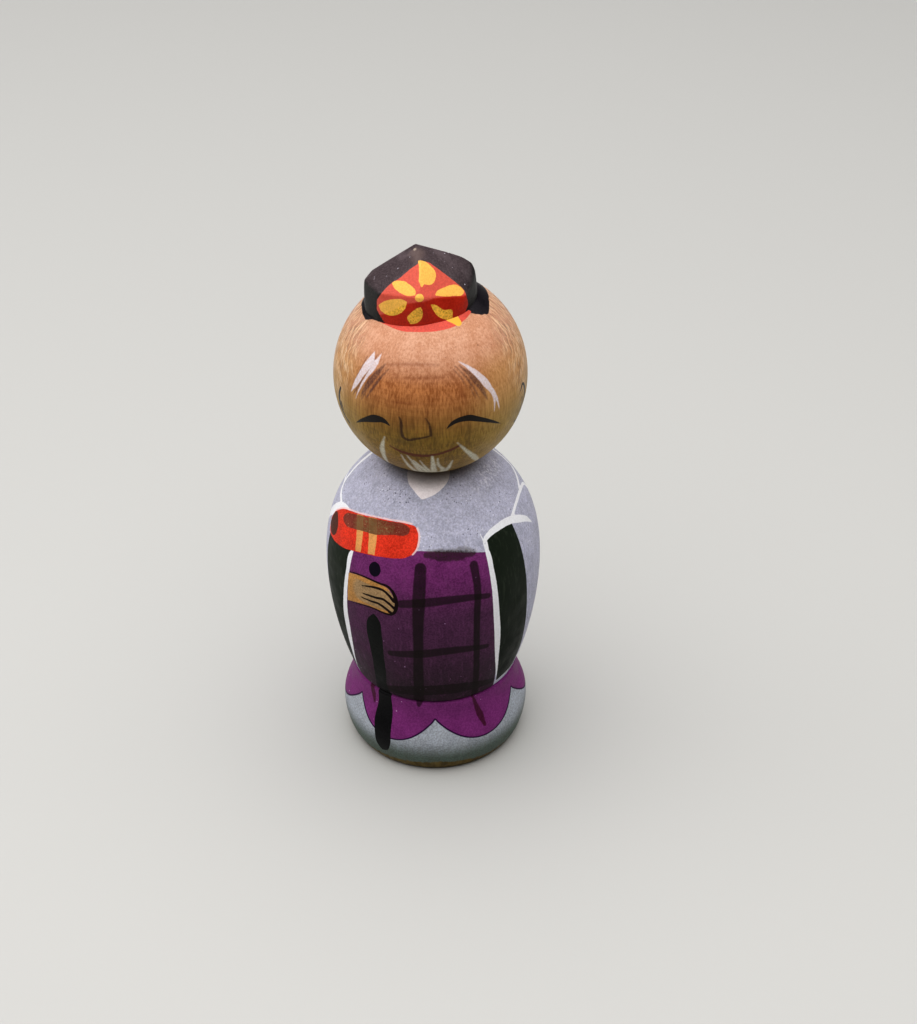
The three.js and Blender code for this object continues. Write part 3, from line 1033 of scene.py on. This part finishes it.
def head_material():
    head = Painting("stained_wood")
    bands = head.noise(head.per_mm(0.55, 0.55, 0.05), 3, 0.6)
    fibres = head.noise(head.per_mm(4.6, 4.6, 0.4), 3, 0.6)
    rings = head.noise(head.per_mm(0.12, 0.12, 3.2), 3, 0.6)
    tone = head.plus(head.times(fibres, 0.55), head.times(bands, 0.3))
    tone = head.plus(tone, head.times(rings, 0.15))
    # The crown above the brows is painted lighter and pinker, as a painted sheen of light; the lower face
    # is painted darker and more olive, as painted shade with green reflected light
    brow = head.between(head.height, (HEAD_MIDDLE + 8.4) * MM, (HEAD_MIDDLE + 4.4) * MM)
    lower_face_shade = head.between(head.height, (HEAD_MIDDLE + 5) * MM, (HEAD_MIDDLE - 3) * MM)
    side = head.between(head.coat("side"), 25, 54)
    dark = head.mix(brow, (193, 136, 103), head.mix(side, (144, 84, 44), (180, 128, 78)))
    light = head.mix(brow, (218, 168, 140), head.mix(side, (196, 132, 82), (210, 160, 108)))
    dark = head.mix(lower_face_shade, dark, head.mix(side, (100, 76, 16), (134, 106, 40)))
    light = head.mix(lower_face_shade, light, head.mix(side, (146, 114, 38), (174, 142, 70)))
    head.colour = head.mix(head.between(tone, 0.36, 0.64), dark, light)
    pores = head.noise(head.per_mm(7, 7, 1.1), 2, 0.6)
    head.lay(head.between(pores, 0.6, 0.72), (126, 66, 30), 0.45)
    head.lay(head.edge("wrinkle", 0.5, 0.3), (120, 58, 26), 0.5)
    head.speckle(0.7, 0.15, 0.2, (120, 74, 50), 0.6)

    # Hair: short thin dabs of cream over grey-brown ones, so thin that the wood shows between them
    hair = head.between(head.coat("hair"), 1.2, -3)
    grey = head.times(head.between(head.coat("hair_down"), -4, -9), hair)
    head.lay(grey, (170, 136, 118), head.thin(0.1, 0.5))
    for number, (lean, spacing, length, width, colour, cover) in enumerate((
        (0.15, 0.5, 2.8, 0.09, (132, 96, 68), 0.45),
        (-0.2, 0.62, 2.6, 0.085, (104, 78, 64), 0.45),
        (0.3, 0.44, 2.8, 0.085, (234, 198, 160), 0.6),
        (-0.32, 0.5, 2.6, 0.08, (234, 198, 160), 0.56),
        (0.0, 0.52, 3.0, 0.075, (244, 212, 178), 0.56),
    )):
        dabs = head.dabs(lean, spacing, length, width, 7.3 * number)
        head.lay(head.times(dabs, hair), colour, cover)

    head.lay(head.edge("brow_shade", 0.16, 0.13), (84, 56, 54), head.thin(0.45, 0.9))
    head.lay(head.edge("brow", 0.16, 0.08), (230, 220, 226), head.thin(0.6, 1.0))
    head.lay(head.edge("ink", 0.05), (18, 8, 2))
    head.lay(head.edge("nose", 0.08, 0.11), (52, 26, 2), head.thin(0.75, 0.95))
    head.lay(head.edge("mouth", 0.08, 0.12), (88, 34, 6), head.thin(0.8, 1.0))
    head.lay(head.edge("beard", 0.2, 0.16), (218, 220, 206), head.thin(0.4, 0.85))
    head.lay(head.edge("crown_black", 0.35, 0.05), head.varied((26, 22, 28), 0.4))
    head.lay(head.edge("crown_red", 0.12, 0.05), head.varied((212, 80, 64), 0.14))
    head.lay(head.edge("crown_yellow", 0.05, 0.05), (236, 180, 60))

    bump = head.plus(head.times(fibres, 0.7), head.times(rings, 0.6))
    bump = head.plus(bump, head.times(head.grit, 0.35))
    roughness = head.between(head.cloud, 0.3, 0.7, 0.36, 0.5)
    return head.finish(roughness, bump, 0.03, 0.25)


def hat_material():
    hat = Painting("hat_paint")
    # The black is painted lighter on the upper facets and darker on the steep wall, as painted light and
    # shade, with lighter mottles of painted sheen mostly on the facets
    wall = hat.edge("wall", 0.8, 0.9)
    low = hat.edge("low_front", 0.2, 0.16)
    hat.colour = hat.mix(wall, hat.varied((74, 63, 66), 0.3), hat.varied((12, 12, 9), 0.5))
    hat.lay(hat.between(hat.grit, 0.55, 0.8), (100, 92, 96), hat.between(wall, 0, 1, 0.4, 0.12))
    hat.lay(hat.between(hat.cloud, 0.5, 0.68), (98, 86, 90), hat.between(wall, 0, 1, 0.35, 0.08))
    hat.speckle(2.1, 0.1, 0.2, (190, 186, 196), 0.75)
    hat.lay(hat.edge("rubbed", 0.6, 0.7), (112, 96, 92), 0.6)
    hat.lay(hat.edge("worn", 0.2, 0.1), (176, 162, 148), 0.7)
    # Red and yellow each come as a lit copy above, the red paler as painted sheen, and a darker copy on the
    # lower front as painted shade; the olive dots there are the petals' own
    red = hat.mix(low, hat.varied((202, 86, 70), 0.12), hat.varied((172, 36, 12), 0.16))
    hat.lay(hat.edge("red", 0.12), red)
    yellow = hat.mix(low, hat.varied((232, 178, 84), 0.14), hat.varied((226, 174, 66), 0.3))
    hat.lay(hat.edge("yellow", 0.16), yellow)
    dots = hat.times(hat.specks(5, 0.11, 0.45), hat.times(low, hat.edge("yellow", 0.16)))
    hat.lay(dots, (150, 116, 20), 0.6)
    bump = hat.plus(hat.times(hat.grit, 0.8), hat.times(hat.cloud, 1.5))
    roughness = hat.between(hat.cloud, 0.3, 0.7, 0.36, 0.5)
    return hat.finish(roughness, bump, 0.03, 0.2)


# Pieces


AXIS_GAP = 0.3  # the radius, in mm, of the ring of points next to each end of the body's pieces
NECK_DEPTH = 1.4  # how far the robe goes down inside its neck, under the head


def dress(piece, node, material):
    piece.data.materials.append(material)
    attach(piece, "root")
    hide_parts(node)


def make_body():
    outline = cad_outline("body")
    outline = lathe_curve(outline[outline[:, 0] > 1])
    height = outline[:, 1]
    groove = np.argmin(np.where((height > 2) & (height < 30), outline[:, 0], np.inf))
    groove_height = height[groove]
    neck = outline[-1]
    well = neck[1] - NECK_DEPTH
    azimuths = columns(-97, 82, fine=0.6, coarse=1.3)

    # The robe, from the floor of the groove to under the head
    rim = [neck + (-0.35, 0.18), neck + (-1.6, -0.35), (AXIS_GAP, well)]
    upper = np.vstack([outline[groove:], *rim])
    reach = lengths(upper)
    side = reach[len(outline) - groove - 1]
    robe = Turned(upper, stations(reach[-1], 0, side + 0.5, fine=0.19, coarse=0.8), azimuths)
    paint_robe(robe)
    ends = (0, 0, groove_height), (0, 0, well)
    dress(robe.mesh("robe", *ends), "body", robe_material())

    # The skirt, from the middle of the sole to the floor of the groove
    lower = np.vstack([(AXIS_GAP, 0), outline[: groove + 1], outline[groove] - (0.6, 0)])
    reach = lengths(lower)
    skirt = Turned(lower, stations(reach[-1], outline[0, 0], reach[-1], fine=0.125, coarse=0.6), azimuths)
    paint_skirt(skirt)
    ends = (0, 0, 0), (0, 0, groove_height)
    dress(skirt.mesh("skirt", *ends), "body", skirt_material())


def make_head():
    outline = lathe_curve(cad_outline("head"))
    reach = lengths(outline)
    painted = np.interp([HEAD_MIDDLE - 9.8, HEAD_MIDDLE + 11.6], outline[:, 1], reach)
    rows = stations(reach[-1], *painted, fine=0.138, coarse=0.32)
    head = Turned(outline, rows[1:-1], columns(-82, 82, fine=0.6, coarse=1.4), HEAD_MIDDLE)
    paint_head(head)
    ends = (0, 0, outline[0, 1]), (0, 0, outline[-1, 1])
    dress(head.mesh("painted_head", *ends), "head", head_material())


def make_hat():
    hat = Hat(rows=230, around=420)
    paint_hat(hat)
    ends = hat.points[: hat.columns].mean(0), hat.points[-hat.columns :].mean(0)
    dress(hat.mesh("painted_hat", *ends), "hat", hat_material())


# Floor, light and camera


def make_floor():
    mesh = bpy.data.meshes.new("floor")
    half = 2.0
    corners = [(x * half, y * half, 0) for x, y in ((-1, -1), (1, -1), (1, 1), (-1, 1))]
    mesh.from_pydata(corners, [], [(0, 1, 2, 3)])
    floor = placed("floor", mesh)
    tree = Tree("floor")
    tree.put(tree.shader.inputs["Base Color"], srgb(184, 184, 182))
    tree.put(tree.shader.inputs["Roughness"], 0.7)
    mesh.materials.append(tree.material)


def make_light(name, place, target, size, watts, colour=(1, 1, 1)):
    data = bpy.data.lights.new(name, "AREA")
    data.shape = "DISK"
    data.size = size
    data.energy = watts
    data.color = colour
    light = placed(name, data)
    light.location = place
    light.rotation_euler = (Vector(target) - Vector(place)).to_track_quat("-Z", "Y").to_euler()


def make_world():
    world = bpy.data.worlds.new("studio")
    world.use_nodes = True
    world.node_tree.nodes["Background"].inputs[0].default_value = (0.95, 0.97, 1.0, 1)
    world.node_tree.nodes["Background"].inputs[1].default_value = 0.03
    bpy.context.scene.world = world


def make_camera():
    """The camera stands in front and above, at the height and turn that the photograph was taken from."""
    data = bpy.data.cameras.new("camera")
    data.lens = 77.34
    data.clip_start = 0.01
    camera = placed("camera", data)
    right = Vector((0.99981, -0.01870, -0.00582))
    up = Vector((0.01569, 0.58706, 0.80939))
    back = Vector((-0.01172, -0.80933, 0.58724))
    place = Vector((0, -0.234936, 0.205691))
    camera.matrix_world = Matrix((
        (right.x, up.x, back.x, place.x),
        (right.y, up.y, back.y, place.y),
        (right.z, up.z, back.z, place.z),
        (0, 0, 0, 1),
    ))
    bpy.context.scene.camera = camera


make_body()
make_head()
make_hat()
make_floor()
make_light("ceiling", (-0.08, -0.08, 0.62), (-0.08, -0.08, 0), 1.15, 8.5, (1.0, 0.985, 0.97))
make_light("left", (-0.45, 0.06, 0.16), (0, 0, 0.03), 0.4, 0.35)
make_light("right", (0.45, 0.06, 0.16), (0, 0, 0.03), 0.4, 0.15)
make_world()
make_camera()
bpy.context.scene.view_settings.view_transform = "Standard"
bpy.context.scene.view_settings.look = "Medium High Contrast"
